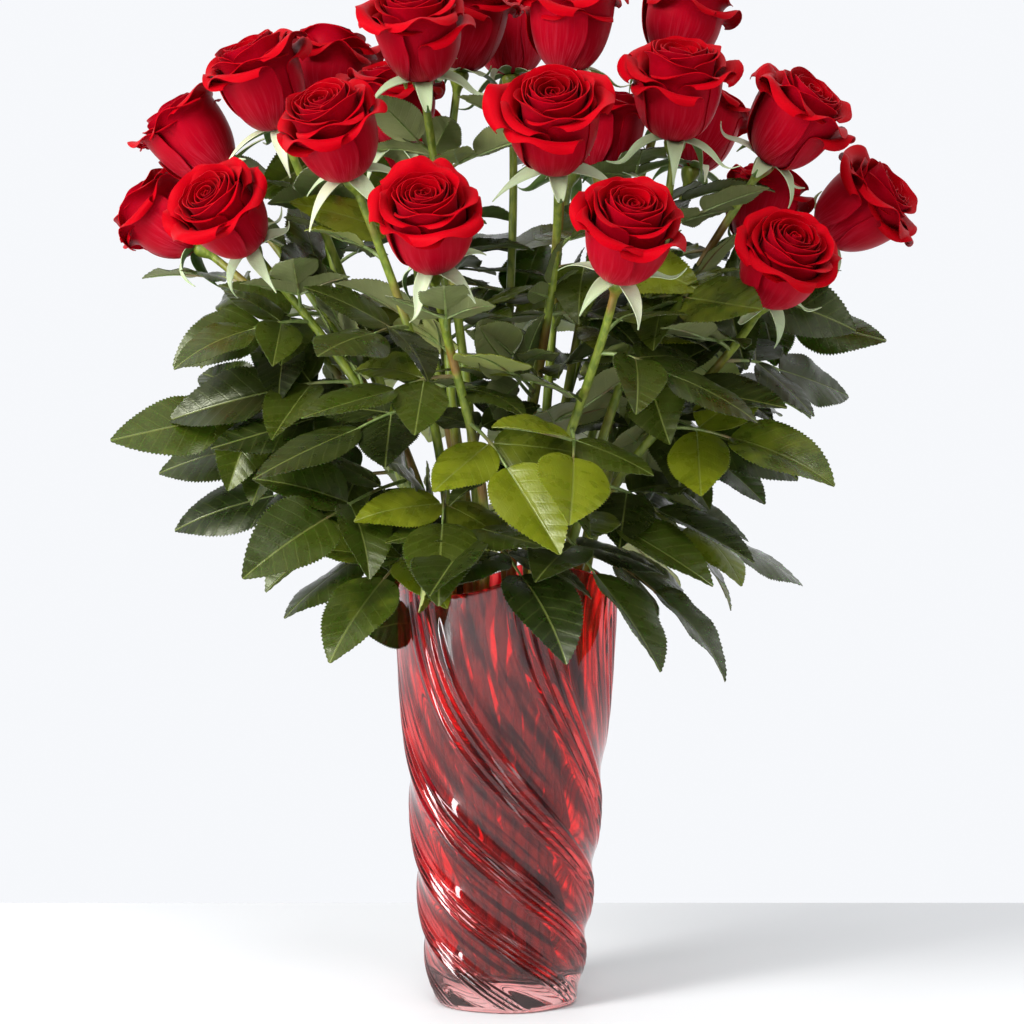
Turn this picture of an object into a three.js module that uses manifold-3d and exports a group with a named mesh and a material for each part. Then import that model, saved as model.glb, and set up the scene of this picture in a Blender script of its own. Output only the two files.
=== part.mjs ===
// Two dozen long-stemmed red roses standing in a swirled red glass vase.
//
// Units are millimetres and +Z is up. The origin is the centre of the vase's flat foot, and -Y is the front.
// Each rose is two solids: the bloom, and the stem with the receptacle under the bloom and the compound
// leaves that grow from it. Every leaf turns and tilts from its wished place to the nearest one that is
// clear of all its neighbours, so the bouquet stays free of overlaps when a size changes.

import * as THREE from "three";
import { mergeVertices } from "three/addons/utils/BufferGeometryUtils.js";
import Module from "manifold-3d";

const wasm = await Module();
wasm.setup();

// ---------------------------------------------------------------- driving dimensions

const CLEARANCE = 0.3; // kept between pieces that touch

const VASE = {
  rimHeight: 246.5, // mean height of the wavy rim
  scallopCount: 3,
  scallopHeight: 7.5, // rise and fall of the rim about its mean height
  scallopAngle: 180, // degrees, where the rim peaks
  scallopReach: 3, // over 1, the wave dies out below the rim
  footRadius: 41,
  rimRadius: 65.5,
  swell: 0.68, // under 1, the wall widens quickly above the foot
  footRound: 2.5, // inward roll of the wall's outside at the foot
  wall: 5,
  floorThickness: 17,
  lobeCount: 6,
  lobeDepth: 1.5, // half of the difference between a rib group and the flute beside it
  lobeAngle: -77, // degrees, where a rib group meets the rim
  twist: 240, // degrees that a rib group turns from rim to foot
  twistPower: 2.1, // the swirl tightens towards the foot
  sides: 48,
  rings: 13,
  insideRings: 4,
  ringCrowding: 1.4, // over 1, the rings of facets crowd towards the foot, where the swirl is tight
};

const STEM = {
  radius: 3.1,
  sides: 5,
  steps: 10,
  outerRing: { stems: 16, footGap: 5.9, rimGap: 10.4 }, // the gaps are between the stems and the wall
  innerRing: { stems: 8, foot: 12, rim: 22 }, // the ring's radii at the vase's floor and at its rim
  swirl: 70, // degrees that the stems turn between foot and rim
  bend: 0.4, // how far the stem holds its direction at each end of its bend, as a share of the bend's span
};

// The receptacle under a bloom
const HIP = { radius: 6.6, seatRadius: 6, length: 11, shoulder: 4, sides: 6 };

const BLOOM = { radius: 28, height: 54, sides: 10 };

const LEAF = {
  thickness: 1.2,
  stalk: 24, // bare stalk before the first pair of leaflets
  stalkWidth: 2.2,
  pairStep: 30, // from one pair of leaflets to the next
  endStep: 20, // from the last pair to the end leaflet
  endLength: 62, // the end leaflet
  sideLength: 52, // a side leaflet
  widthShare: 0.62, // a leaflet's width as a share of its length
  sideAngle: 62, // degrees between the stalk and a side leaflet
  clearance: 0.6,
  steepest: 75, // degrees up or down
};

// How far a leaf may move from its wished place to come clear of its neighbours.
const SEARCH = {
  turn: 13, // degrees in one step of heading or rise
  turns: 12,
  rises: 5,
  roll: 16,
  slide: 0.025, // share of the stem
  slides: 5,
  highest: 0.94, // share of the stem, above which no leaf grows
  sizes: [1, 0.86, 0.74, 0.62, 0.5, 0.4],
  sizeCost: 20, // how many steps of turning a leaf of no size is worth
};

// Each stem also carries these leaves, which fill the bouquet up to its blooms. They turn from one to the
// next by the golden angle, as leaves on a stem do.
const UPPER_LEAVES = { places: [0.88, 0.72], turnStep: 137.5, rise: 25, roll: 0, size: 0.7, pairs: 1 };

// The crown below suits blooms of this size. It spreads in step when BLOOM grows or shrinks.
const CROWN = { bloomRadius: 28, bloomHeight: 54 };

// One row for each rose: the bloom's centre (its height is above the vase's rim), the way it faces, its size
// as a share of BLOOM, and its leaves.
// A leaf is [place along the stem from 0 to 1, turn in degrees from the stem's outward side, rise in degrees,
// roll in degrees that leans its upper side to the right of its stalk, size, pairs of leaflets].
const ROSES = [
  {
    at: [-203, 45, 211.5], faces: [-0.78, 0.2, 0.6], size: 0.98,
    leaves: [
      [0.85, -25, -15, -45, 0.85, 1],
      [0.73, 15, -10, -45, 1.05, 2],
      [0.62, -5, -11, -35, 1.0, 2],
      [0.54, 25, -20, -10, 0.95, 1],
    ],
  },
  {
    at: [-183, 15, 255.5], faces: [-0.62, -0.02, 0.78], size: 1.02,
    leaves: [
      [0.8, 30, -10, -40, 0.9, 1],
      [0.67, -20, -15, -40, 1.0, 2],
      [0.57, 5, -16, -20, 0.95, 1],
    ],
  },
  {
    at: [-156, -60, 205.5], faces: [-0.45, -0.65, 0.6], size: 0.98,
    leaves: [
      [0.86, 30, -6, -40, 0.85, 1],
      [0.75, -20, -6, -45, 1.05, 1],
      [0.64, 20, -16, -35, 1.0, 2],
      [0.55, 0, -25, -10, 1.0, 1],
    ],
  },
  {
    at: [-140, -10, 286.5], faces: [-0.35, -0.3, 0.87], size: 1.06,
    leaves: [
      [0.78, 35, -10, -40, 0.95, 1],
      [0.66, 15, -11, -35, 1.0, 1],
    ],
  },
  {
    at: [-106, 52, 302.5], faces: [0.1, 0.1, 0.97], size: 1.0,
    leaves: [
      [0.76, -50, 5, 0, 0.95, 1],
      [0.62, -20, -6, 0, 1.0, 2],
    ],
  },
  {
    at: [-93, -97, 248.5], faces: [-0.3, -0.55, 0.78], size: 1.04,
    leaves: [
      [0.8, 40, -6, -30, 0.95, 1],
      [0.7, -30, -16, -25, 1.05, 1],
      [0.58, 10, -25, -5, 1.0, 1],
    ],
  },
  {
    at: [-64, 0, 275.5], faces: [-0.1, -0.2, 0.97], size: 0.95,
    leaves: [
      [0.76, 0, 10, -20, 0.85, 1],
      [0.64, -30, 10, -20, 0.85, 1],
    ],
  },
  {
    at: [-49, -68, 306.5], faces: [-0.1, -0.55, 0.82], size: 1.04,
    leaves: [
      [0.76, 20, 0, -30, 0.95, 1],
      [0.66, -10, -10, -20, 0.9, 1],
    ],
  },
  {
    at: [-22, -8, 319.5], faces: [0.15, -0.1, 0.98], size: 1.0,
    leaves: [
      [0.78, -60, 20, 0, 0.85, 1],
    ],
  },
  {
    at: [2, 52, 323.5], faces: [-0.05, 0.15, 0.98], size: 1.0,
    leaves: [
      [0.78, 20, 10, 0, 0.9, 1],
      [0.66, -30, 10, 0, 0.9, 1],
    ],
  },
  {
    at: [37, -45, 315.5], faces: [0.05, -0.3, 0.95], size: 1.04,
    leaves: [
      [0.78, -30, 0, 30, 0.95, 1],
      [0.66, 30, 0, 10, 0.85, 1],
    ],
  },
  {
    at: [27, -120, 250.5], faces: [-0.05, -0.68, 0.73], size: 1.08,
    leaves: [
      [0.8, 50, -15, 25, 0.95, 1],
      [0.7, -40, -11, -15, 1.0, 1],
      [0.61, 25, -21, 5, 1.0, 1],
    ],
  },
  {
    at: [58, -8, 259.5], faces: [0.1, -0.05, 0.98], size: 0.93,
    leaves: [
      [0.76, -40, 10, 20, 0.85, 1],
      [0.66, 30, 10, 10, 0.8, 1],
    ],
  },
  {
    at: [96, -74, 274.5], faces: [0.05, -0.4, 0.92], size: 1.06,
    leaves: [
      [0.8, -40, -10, 40, 0.95, 1],
      [0.7, 20, -11, 35, 1.0, 1],
      [0.59, -15, -20, 15, 1.0, 1],
    ],
  },
  {
    at: [103, 2, 325.5], faces: [0.22, 0, 0.97], size: 1.02,
    leaves: [
      [0.78, 10, 10, 20, 0.9, 1],
      [0.68, 40, 0, 20, 0.85, 1],
    ],
  },
  {
    at: [162, -50, 259.5], faces: [0.5, -0.42, 0.76], size: 1.04,
    leaves: [
      [0.8, 30, -10, 40, 0.95, 1],
      [0.69, -20, -15, 40, 1.0, 1],
      [0.58, 5, -16, 20, 0.95, 1],
    ],
  },
  {
    at: [150, 10, 217.5], faces: [0.3, 0.15, 0.93], size: 0.92,
    leaves: [
      [0.76, 25, 0, 30, 0.9, 1],
      [0.63, -15, -6, 25, 1.0, 1],
    ],
  },
  {
    at: [117, 48, 265.5], faces: [0.25, 0.25, 0.93], size: 0.97,
    leaves: [
      [0.78, 25, 0, 20, 0.95, 1],
      [0.63, 10, -11, 15, 1.0, 2],
    ],
  },
  {
    at: [207, 0, 215.5], faces: [0.74, -0.38, 0.55], size: 1.06,
    leaves: [
      [0.85, -30, -10, 45, 0.9, 1],
      [0.74, 20, -10, 40, 1.05, 1],
      [0.64, -10, -6, 35, 1.0, 2],
      [0.55, 5, -22, 15, 1.0, 1],
    ],
  },
  {
    at: [152, -90, 177.5], faces: [0.3, -0.66, 0.69], size: 1.0,
    leaves: [
      [0.86, 40, -6, 40, 0.9, 1],
      [0.76, -30, -6, 40, 1.05, 1],
      [0.65, 20, -21, 25, 1.0, 2],
      [0.57, -10, -28, 10, 1.05, 1],
    ],
  },
  {
    at: [65, -142, 189.5], faces: [0.15, -0.62, 0.77], size: 1.02,
    leaves: [
      [0.85, 45, -16, 25, 0.9, 1],
      [0.76, -45, -21, -15, 1.0, 1],
      [0.66, 30, -22, 10, 1.0, 1],
      [0.58, -5, -50, 0, 1.1, 1],
    ],
  },
  {
    at: [-40, -146, 194.5], faces: [-0.08, -0.66, 0.75], size: 1.02,
    leaves: [
      [0.85, -45, -11, -25, 0.9, 1],
      [0.76, 40, -21, 15, 1.0, 1],
      [0.66, -25, -22, -5, 1.0, 1],
      [0.58, 10, -28, 0, 1.05, 1],
    ],
  },
  {
    at: [45, 122, 268.5], faces: [0.15, 0.55, 0.82], size: 1.02,
    leaves: [
      [0.8, 30, -10, 15, 1.0, 1],
      [0.68, -25, -11, -10, 1.0, 2],
      [0.57, 5, -25, 0, 1.0, 1],
    ],
  },
  {
    at: [-62, 116, 253.5], faces: [-0.2, 0.55, 0.81], size: 1.02,
    leaves: [
      [0.8, -30, -10, -15, 1.0, 1],
      [0.68, 25, -11, 10, 1.0, 2],
      [0.57, -5, -25, 0, 1.0, 1],
    ],
  },
];

// ---------------------------------------------------------------- colours

const glassRed = new THREE.MeshStandardMaterial({
  color: 0x8f0a14,
  roughness: 0.05,
  metalness: 0,
  transparent: true,
  opacity: 0.55,
});
const petalRed = new THREE.MeshStandardMaterial({ color: 0xb00716, roughness: 0.6, metalness: 0 });
const leafGreen = new THREE.MeshStandardMaterial({ color: 0x35501f, roughness: 0.45, metalness: 0 });

// ---------------------------------------------------------------- helpers

const radians = THREE.MathUtils.degToRad;
const UP = new THREE.Vector3(0, 0, 1);

/** A three.js geometry as a manifold-3d solid. */
function solidOf(geometry) {
  const bare = geometry.index ? geometry.toNonIndexed() : geometry;
  const positions = new THREE.BufferGeometry().setAttribute("position", bare.getAttribute("position"));
  const merged = mergeVertices(positions, 1e-3);
  return new wasm.Manifold(
    new wasm.Mesh({
      numProp: 3,
      vertProperties: merged.attributes.position.array,
      triVerts: new Uint32Array(merged.index.array),
    }),
  );
}

/** A manifold-3d solid as a three.js geometry. */
function geometryOf(solid) {
  const mesh = solid.getMesh();
  const positions = new Float32Array(mesh.numVert * 3);
  for (let i = 0; i < mesh.numVert; i++) {
    positions.set(mesh.vertProperties.subarray(i * mesh.numProp, i * mesh.numProp + 3), i * 3);
  }
  const geometry = new THREE.BufferGeometry();
  geometry.setAttribute("position", new THREE.BufferAttribute(positions, 3));
  geometry.setIndex(new THREE.BufferAttribute(mesh.triVerts, 1));
  geometry.computeVertexNormals();
  return geometry;
}

/** Points on a circle, so that a polygon of that many sides stands in for a round section. */
function polygon(radius, sides) {
  const shape = new THREE.Shape();
  for (let i = 0; i < sides; i++) {
    const angle = (i / sides) * 2 * Math.PI;
    shape[i ? "lineTo" : "moveTo"](radius * Math.cos(angle), radius * Math.sin(angle));
  }
  shape.closePath();
  return shape;
}

/** True if the solid keeps the gap to every neighbour. */
function isClear(solid, box, neighbours, gap) {
  return neighbours.every((n) => !boxesMeet(box, n.box, gap) || solid.minGap(n.solid, gap * 2) >= gap);
}

function boxesMeet(a, b, gap) {
  return [0, 1, 2].every((k) => a.min[k] - gap < b.max[k] && b.min[k] - gap < a.max[k]);
}

// ---------------------------------------------------------------- vase

/** Radius of the vase's plain outside at a share of its height, before lobes. */
function vaseRadius(share) {
  const rise = Math.pow(Math.max(share, 0), VASE.swell);
  return VASE.footRadius + (VASE.rimRadius - VASE.footRadius) * rise;
}

/** How far the wavy rim rises above its mean height. */
function scallop(angle) {
  return VASE.scallopHeight * Math.cos(VASE.scallopCount * (angle - radians(VASE.scallopAngle)));
}

/** How far a rib group stands proud at this place on the wall. */
function lobe(angle, share) {
  const turned = angle - radians(VASE.lobeAngle) - radians(VASE.twist) * Math.pow(1 - share, VASE.twistPower);
  return VASE.lobeDepth * Math.cos(VASE.lobeCount * turned);
}

/** A lathe body whose wall is then swirled and whose rim is cut to a wave. */
function vaseGeometry() {
  const outside = [new THREE.Vector2(0, 0)];
  outside.push(new THREE.Vector2(VASE.footRadius - VASE.footRound, 0));
  for (let i = 1; i <= VASE.rings; i++) {
    const share = Math.pow(i / VASE.rings, VASE.ringCrowding);
    outside.push(new THREE.Vector2(vaseRadius(share), share * VASE.rimHeight));
  }
  const inside = [];
  for (let i = VASE.insideRings; i >= 0; i--) {
    const height = VASE.floorThickness + (i / VASE.insideRings) * (VASE.rimHeight - VASE.floorThickness);
    inside.push(new THREE.Vector2(vaseRadius(height / VASE.rimHeight) - VASE.wall, height));
  }
  inside.push(new THREE.Vector2(0, VASE.floorThickness));
  const geometry = new THREE.LatheGeometry([...outside, ...inside], VASE.sides);
  geometry.rotateX(Math.PI / 2);

  const position = geometry.getAttribute("position");
  const pointsPerLine = outside.length + inside.length;
  for (let i = 0; i < position.count; i++) {
    const x = position.getX(i);
    const y = position.getY(i);
    const z = position.getZ(i);
    const radius = Math.hypot(x, y);
    if (radius < 1e-6) continue;
    const angle = Math.atan2(y, x);
    const share = z / VASE.rimHeight;
    const isOutside = i % pointsPerLine < outside.length && z > 0;
    const scale = isOutside ? 1 + lobe(angle, share) / radius : 1; // the inside stays round
    position.setXYZ(i, x * scale, y * scale, z + scallop(angle) * Math.pow(share, VASE.scallopReach));
  }
  return geometry;
}

// ---------------------------------------------------------------- roses

/** Which way a bloom faces, as a unit vector. */
function facing(rose) {
  return new THREE.Vector3(...rose.faces).normalize();
}

/** Where the bloom sits on its receptacle. */
function bloomSeat(rose) {
  const spread = Math.max(BLOOM.radius / CROWN.bloomRadius, BLOOM.height / CROWN.bloomHeight);
  const centre = new THREE.Vector3(...rose.at).multiplyScalar(spread).addScaledVector(UP, VASE.rimHeight);
  return centre.addScaledVector(facing(rose), -0.5 * BLOOM.height * rose.size);
}

/** Two places for each stem, at the vase's floor and at its rim. The roses nearest the middle stand in the
 *  inner ring, and each ring keeps the order of its roses round the vase, so that no two stems cross. */
function stemPlaces() {
  const plan = ROSES.map((rose, index) => {
    const seat = bloomSeat(rose);
    return { index, radius: Math.hypot(seat.x, seat.y), angle: Math.atan2(seat.y, seat.x) };
  });
  plan.sort((a, b) => b.radius - a.radius);
  const { outerRing, innerRing } = STEM;
  const besideWall = VASE.wall + STEM.radius;
  const rings = [
    {
      foot: VASE.footRadius - besideWall - outerRing.footGap,
      rim: VASE.rimRadius - besideWall - outerRing.rimGap,
      members: plan.slice(0, outerRing.stems),
    },
    { foot: innerRing.foot, rim: innerRing.rim, members: plan.slice(outerRing.stems) },
  ];
  const places = [];
  for (const ring of rings) {
    const members = ring.members.sort((a, b) => a.angle - b.angle);
    const step = (2 * Math.PI) / members.length;
    const start = members.reduce((sum, member, k) => sum + member.angle - k * step, 0) / members.length;
    members.forEach((member, k) => {
      const even = start + k * step;
      const rim = onCircle(ring.rim, 0.5 * (even + member.angle), VASE.rimHeight);
      const foot = onCircle(ring.foot, even - radians(STEM.swirl), VASE.floorThickness);
      const lean = rim.clone().sub(foot).angleTo(UP);
      foot.z += CLEARANCE + STEM.radius * Math.sin(lean); // the low edge of the cut end is on the floor
      places[member.index] = { foot, rim };
    });
  }
  return places;
}

function onCircle(radius, angle, height) {
  return new THREE.Vector3(radius * Math.cos(angle), radius * Math.sin(angle), height);
}

/** The stem's centre line: straight from the vase's floor to its rim, then bent to the bloom's direction. */
function stemCurve(rose, { foot, rim }) {
  const seat = bloomSeat(rose).addScaledVector(facing(rose), -CLEARANCE);
  const straight = new THREE.LineCurve3(foot, rim);
  const reach = STEM.bend * rim.distanceTo(seat);
  const leaving = rim.clone().addScaledVector(straight.getTangent(0), reach);
  const arriving = seat.clone().addScaledVector(facing(rose), -reach);
  const curve = new THREE.CurvePath();
  curve.add(straight);
  curve.add(new THREE.CubicBezierCurve3(rim, leaving, arriving, seat));
  return curve;
}

function stemSolid(curve, rose) {
  const tube = new THREE.ExtrudeGeometry(polygon(STEM.radius, STEM.sides), {
    steps: STEM.steps,
    extrudePath: curve,
  });
  const profile = [
    new THREE.Vector2(0, -HIP.length),
    new THREE.Vector2(STEM.radius, -HIP.length),
    new THREE.Vector2(HIP.radius, -HIP.shoulder),
    new THREE.Vector2(HIP.seatRadius, 0),
    new THREE.Vector2(0, 0),
  ];
  const hip = new THREE.LatheGeometry(profile, HIP.sides);
  standOn(hip, curve.getPoint(1), facing(rose));
  return solidOf(tube).add(solidOf(hip));
}

/** Turns a lathe body's axis to a direction and moves its base to a point. */
function standOn(geometry, point, direction) {
  const latheAxis = new THREE.Vector3(0, 1, 0);
  geometry.applyQuaternion(new THREE.Quaternion().setFromUnitVectors(latheAxis, direction));
  geometry.translate(point.x, point.y, point.z);
}

/** A closed cup with an open, slightly sunken face, as a half-open rose has. */
function bloomGeometry(rose) {
  const r = BLOOM.radius * rose.size;
  const h = BLOOM.height * rose.size;
  const profile = [
    new THREE.Vector2(0, 0),
    new THREE.Vector2(0.35 * r, 0),
    new THREE.Vector2(0.85 * r, 0.28 * h),
    new THREE.Vector2(r, 0.85 * h),
    new THREE.Vector2(0.6 * r, h),
    new THREE.Vector2(0, 0.97 * h),
  ];
  const geometry = new THREE.LatheGeometry(profile, BLOOM.sides);
  standOn(geometry, bloomSeat(rose), facing(rose));
  return geometry;
}

// ---------------------------------------------------------------- leaves

/** A leaflet's outline, from one side of its base on the stalk round its tip to the other side. */
function leafletOutline(base, direction, length) {
  const half = 0.5 * LEAF.widthShare * length;
  const stem = 0.5 * LEAF.stalkWidth;
  const along = new THREE.Vector2(Math.cos(direction), Math.sin(direction));
  const across = new THREE.Vector2(-along.y, along.x);
  const outline = [
    [0, -stem],
    [0.42 * length, -half],
    [length, 0],
    [0.42 * length, half],
    [0, stem],
  ];
  return outline.map(([u, v]) => base.clone().addScaledVector(along, u).addScaledVector(across, v));
}

/** The outline of a compound leaf: up one side of its stalk with half of the leaflets, round the end
 *  leaflet, and down the other side. */
function leafOutline(pairs) {
  const stalkEnd = LEAF.stalk + LEAF.pairStep * (pairs - 1) + LEAF.endStep;
  const edge = 0.5 * LEAF.stalkWidth;
  const right = [];
  const left = [];
  for (let pair = 0; pair < pairs; pair++) {
    const along = LEAF.stalk + LEAF.pairStep * pair;
    const angle = radians(LEAF.sideAngle);
    right.push(...leafletOutline(new THREE.Vector2(along, -edge), -angle, LEAF.sideLength));
    left.unshift(...leafletOutline(new THREE.Vector2(along, edge), angle, LEAF.sideLength));
  }
  const end = leafletOutline(new THREE.Vector2(stalkEnd, 0), 0, LEAF.endLength);
  return [new THREE.Vector2(0, -edge), ...right, ...end, ...left, new THREE.Vector2(0, edge)];
}

const leafSolids = new Map(); // one solid for each size and number of pairs that has been asked for

/** A compound leaf lying in the XY plane, its stalk along +X from the origin. */
function leafSolid(size, pairs) {
  const key = size.toFixed(4) + "/" + pairs;
  if (!leafSolids.has(key)) {
    const outline = leafOutline(pairs).map((point) => point.multiplyScalar(size));
    const plate = new THREE.ExtrudeGeometry(new THREE.Shape(outline), {
      depth: LEAF.thickness,
      bevelEnabled: false,
    });
    leafSolids.set(key, solidOf(plate));
  }
  return leafSolids.get(key);
}

/** The matrix that puts a leaf on its stem: heading and rise aim its stalk, and roll turns it about that. */
function leafMatrix(root, heading, rise, roll) {
  const along = new THREE.Vector3(
    Math.cos(heading) * Math.cos(rise),
    Math.sin(heading) * Math.cos(rise),
    Math.sin(rise),
  );
  const side = new THREE.Vector3().crossVectors(UP, along).normalize().applyAxisAngle(along, roll);
  const upper = new THREE.Vector3().crossVectors(along, side);
  return new THREE.Matrix4().makeBasis(along, side, upper).setPosition(root);
}

/** Changes to a wished leaf, the smallest first: its turn, rise, roll, place along the stem and size. */
function leafChanges() {
  const changes = [];
  for (const turn of symmetric(SEARCH.turn, SEARCH.turns)) {
    for (const rise of symmetric(SEARCH.turn, SEARCH.rises)) {
      for (const roll of symmetric(SEARCH.roll, 1)) {
        for (const slide of symmetric(SEARCH.slide, SEARCH.slides)) {
          for (const shrink of SEARCH.sizes) {
            const angles = (Math.abs(turn) + Math.abs(rise) + Math.abs(roll)) / SEARCH.turn;
            const cost = angles + Math.abs(slide) / SEARCH.slide + (1 - shrink) * SEARCH.sizeCost;
            changes.push({ turn, rise, roll, slide, shrink, cost });
          }
        }
      }
    }
  }
  return changes.sort((a, b) => a.cost - b.cost);
}

/** Whole multiples of a step from -count to count. */
function symmetric(step, count) {
  return Array.from({ length: 2 * count + 1 }, (_, k) => (k - count) * step);
}

const LEAF_CHANGES = leafChanges();

/** A rose's upper leaves, as rows like its own ones. */
function upperLeaves(index) {
  const { places, turnStep, rise, roll, size, pairs } = UPPER_LEAVES;
  return places.map((place, k) => {
    const turn = (index * places.length + k) * turnStep;
    return [place, turn, rise, roll, size, pairs];
  });
}

/** The wished leaf, or the nearest one to it that is clear of its neighbours. */
function growLeaf(curve, wish, neighbours) {
  const [along, turn, rise, roll, size, pairs] = wish;
  const lean = curve.getPoint(along).sub(curve.getPoint(0.5 * along));
  const outward = Math.atan2(lean.y, lean.x);
  for (const change of LEAF_CHANGES) {
    const root = curve.getPoint(Math.min(along + change.slide, SEARCH.highest));
    const heading = outward + radians(turn + change.turn);
    const tilt = radians(THREE.MathUtils.clamp(rise + change.rise, -LEAF.steepest, LEAF.steepest));
    const matrix = leafMatrix(root, heading, tilt, radians(roll + change.roll));
    const placed = leafSolid(size * change.shrink, pairs).transform(matrix.toArray());
    const box = placed.boundingBox();
    if (isClear(placed, box, neighbours, LEAF.clearance)) return { solid: placed, box };
  }
  throw new Error("no clear place for the leaf at " + curve.getPoint(along).toArray().map(Math.round));
}

// ---------------------------------------------------------------- the bouquet

const bouquet = new THREE.Group();
bouquet.name = "roses_in_vase";

function addPart(name, geometry, material) {
  const mesh = new THREE.Mesh(geometry, material);
  mesh.name = name;
  bouquet.add(mesh);
}

function number(index) {
  return String(index + 1).padStart(2, "0");
}

function withBox(solid) {
  return { solid, box: solid.boundingBox() };
}

const vase = vaseGeometry();
addPart("vase", vase, glassRed);

const places = stemPlaces();
const curves = ROSES.map((rose, i) => stemCurve(rose, places[i]));
const stems = ROSES.map((rose, i) => withBox(stemSolid(curves[i], rose)));
const blooms = ROSES.map((rose) => bloomGeometry(rose));
const fixed = [withBox(solidOf(vase)), ...blooms.map((b) => withBox(solidOf(b)))];

// The lowest leaves have the least room, so they are placed first.
const wishes = ROSES.map((rose, i) => [...upperLeaves(i), ...rose.leaves]);
const mostLeaves = Math.max(...wishes.map((rows) => rows.length));
const leaves = ROSES.map(() => []);
for (let round = mostLeaves - 1; round >= 0; round--) {
  wishes.forEach((rows, i) => {
    if (!rows[round]) return;
    const others = stems.filter((_, k) => k !== i);
    const leaf = growLeaf(curves[i], rows[round], [...fixed, ...others, ...leaves.flat()]);
    leaves[i].push(leaf);
  });
}

ROSES.forEach((rose, i) => {
  const whole = leaves[i].reduce((solid, leaf) => solid.add(leaf.solid), stems[i].solid);
  addPart("rose_" + number(i) + "_stem_and_leaves", geometryOf(whole), leafGreen);
  addPart("rose_" + number(i) + "_bloom", blooms[i], petalRed);
});

export default bouquet;
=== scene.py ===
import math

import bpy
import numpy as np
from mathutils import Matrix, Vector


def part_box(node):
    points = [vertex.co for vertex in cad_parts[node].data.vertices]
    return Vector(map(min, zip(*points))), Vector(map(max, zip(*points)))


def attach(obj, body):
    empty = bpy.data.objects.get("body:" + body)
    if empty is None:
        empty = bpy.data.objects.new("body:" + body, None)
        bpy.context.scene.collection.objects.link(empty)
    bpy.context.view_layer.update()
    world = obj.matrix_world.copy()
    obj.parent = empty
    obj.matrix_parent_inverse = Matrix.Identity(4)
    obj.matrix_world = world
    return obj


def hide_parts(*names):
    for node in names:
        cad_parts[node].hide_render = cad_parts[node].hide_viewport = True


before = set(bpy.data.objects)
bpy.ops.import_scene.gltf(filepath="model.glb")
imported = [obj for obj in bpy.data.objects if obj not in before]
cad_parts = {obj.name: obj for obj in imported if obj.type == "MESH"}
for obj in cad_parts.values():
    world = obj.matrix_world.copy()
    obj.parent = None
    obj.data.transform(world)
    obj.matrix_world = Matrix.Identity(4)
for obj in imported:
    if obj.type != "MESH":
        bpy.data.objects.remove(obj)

# Two dozen red roses in a swirled ruby glass vase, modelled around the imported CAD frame.
#
# Units are metres in the row frame: +Z is up, -Y is the front and the origin is the centre of the vase's
# foot. Sizes that read better in millimetres are written as a number times MM. Every rose is found again
# in its CAD solids: the bloom gives its seat, axis and size, and the stem gives its line and its leaves.

MM = 0.001
UP = np.array([0.0, 0.0, 1.0])
BODY = "root"
ROSE_COUNT = 24
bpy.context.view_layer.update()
VASE_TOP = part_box("vase")[1][2]

# ---------------------------------------------------------------- sizes

VASE = {
    "rim_wave": 7.5 * MM,  # rise and fall of the rim about its mean height
    "rim_waves": 3,
    "rim_peak": math.radians(180),
    "wave_reach": 3,  # over 1, the wave dies out below the rim
    "foot_radius": 41 * MM,
    "rim_radius": 65.5 * MM,
    "swell": 0.68,  # under 1, the wall widens quickly above the foot
    "wall": 5 * MM,
    "lip": 3.4 * MM,  # thickness of the wall at the rim
    "floor": 17 * MM,
    "floor_corner": 7 * MM,
    "foot_round": 2.5 * MM,
    "groups": 6,  # groups of ridges round the vase
    "group_angle": math.radians(-77),
    "twist": math.radians(240),
    "twist_power": 2.1,
    "ridges": 4,  # in a group
    "group_share": 0.42,  # of the way from one group to the next
    "ridge_height": 1.5 * MM,
    "flute_depth": 1.7 * MM,
}

STEM = {
    "foot": 3.0 * MM,  # radii at the foot and under the bloom
    "neck": 2.3 * MM,
    "bend": 0.4,  # reach of the bend's handles, as a share of the way from the rim to the bloom
    "sides": 14,
    "straight_steps": 12,
    "bend_steps": 70,
}

LEAF = {
    "thickness": 0.35 * MM,
    "lengths": {1: 106 * MM, 2: 136 * MM},  # of a full-size CAD leaf, by its pairs of leaflets
    "largest": 1.3,  # a leaf's size is at most this
    "least_area": 150 * MM * MM,  # of one leaf's upper side in the CAD
    "least_reach": 20 * MM,  # from the stem to the leaf's farthest corner
    "stalk": 24 * MM,  # to the first pair of leaflets
    "pair_step": 30 * MM,
    "end_step": 20 * MM,
    "end_length": 64 * MM,
    "side_length": 54 * MM,
    "width_share": 0.64,
    "side_angle": math.radians(62),
    "teeth": 30,  # along each side of a leaflet
    "tooth_depth": 0.028,  # as a share of the leaflet's half width
    "vein_height": 0.28 * MM,
    "droop": 0.7,  # radians, at most, from a leaflet's base to its tip
}

BLOOM = {
    "height": 54 * MM,  # of a full-size CAD bloom
    "petals": 30,
    "petal_turn": math.radians(137.5),  # from one petal to the next
    "petal_thickness": 0.45 * MM,
}

SEPAL = {
    "count": 5,
    "half_width": 5.2,  # this and the lengths are in millimetres for a full-size bloom
    "shortest": 27,
    "longest": 38,
    "thickness": 0.5 * MM,
}

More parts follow.
